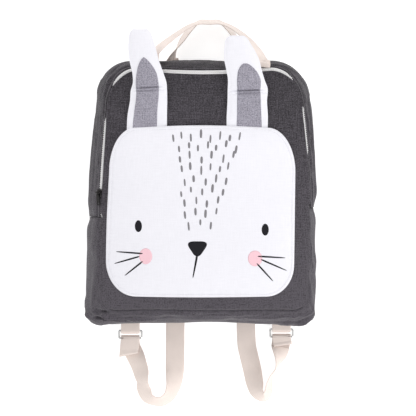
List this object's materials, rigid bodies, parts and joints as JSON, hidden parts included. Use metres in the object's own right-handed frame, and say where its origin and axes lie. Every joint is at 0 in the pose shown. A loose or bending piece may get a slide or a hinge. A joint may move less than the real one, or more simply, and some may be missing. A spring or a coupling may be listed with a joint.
{
  "type": "kids animal backpack",
  "caption": "Child's canvas backpack with a white rabbit face pocket and standing ears, zip round the top, webbing handles and shoulder straps, lying on its back.",
  "frame": {"origin": "middle of the base of the whole thing as it lies on its back", "axes": "+Y towards the bag's top, +Z out of its face, +X to the right of the face as seen"},
  "size_m": [0.258, 0.4372, 0.0887],
  "materials": {
    "canvas": "charcoal plain-weave cotton canvas",
    "white_cotton": "white slub cotton with a printed face",
    "grey_cloth": "grey melange twill",
    "webbing": "cream cotton webbing",
    "zip_tape": "pale zip tape with a coil",
    "ring_metal": "bright nickel-plated steel",
    "zip_metal": "dark antique metal"
  },
  "bodies": {
    "root": {"front_panel": "canvas", "back_panel": "canvas", "gusset_upper": "canvas", "gusset_lower": "canvas", "zip": "zip_tape", "face_pocket": "white_cotton", "ear_left": "white_cotton", "ear_patch_left": "grey_cloth", "ear_right": "white_cotton", "ear_patch_right": "grey_cloth", "handle_front": "webbing", "handle_back": "webbing", "strap_left": "webbing", "strap_right": "webbing", "strap_tab_left": "webbing", "strap_ring_left": "ring_metal", "strap_tab_right": "webbing", "strap_ring_right": "ring_metal", "zip_slider": "zip_metal"},
    "zip_pull": {"zip_pull": "zip_metal"}
  },
  "joints": [
    {"name": "zip_pull_hinge", "type": "hinge", "parent": "root", "child": "zip_pull", "pos_m": [-0.11418, 0.01958, 0.07074], "axis": [-0.7543, 0.0491, -0.6547], "range_deg": [0, 165]}
  ]
}
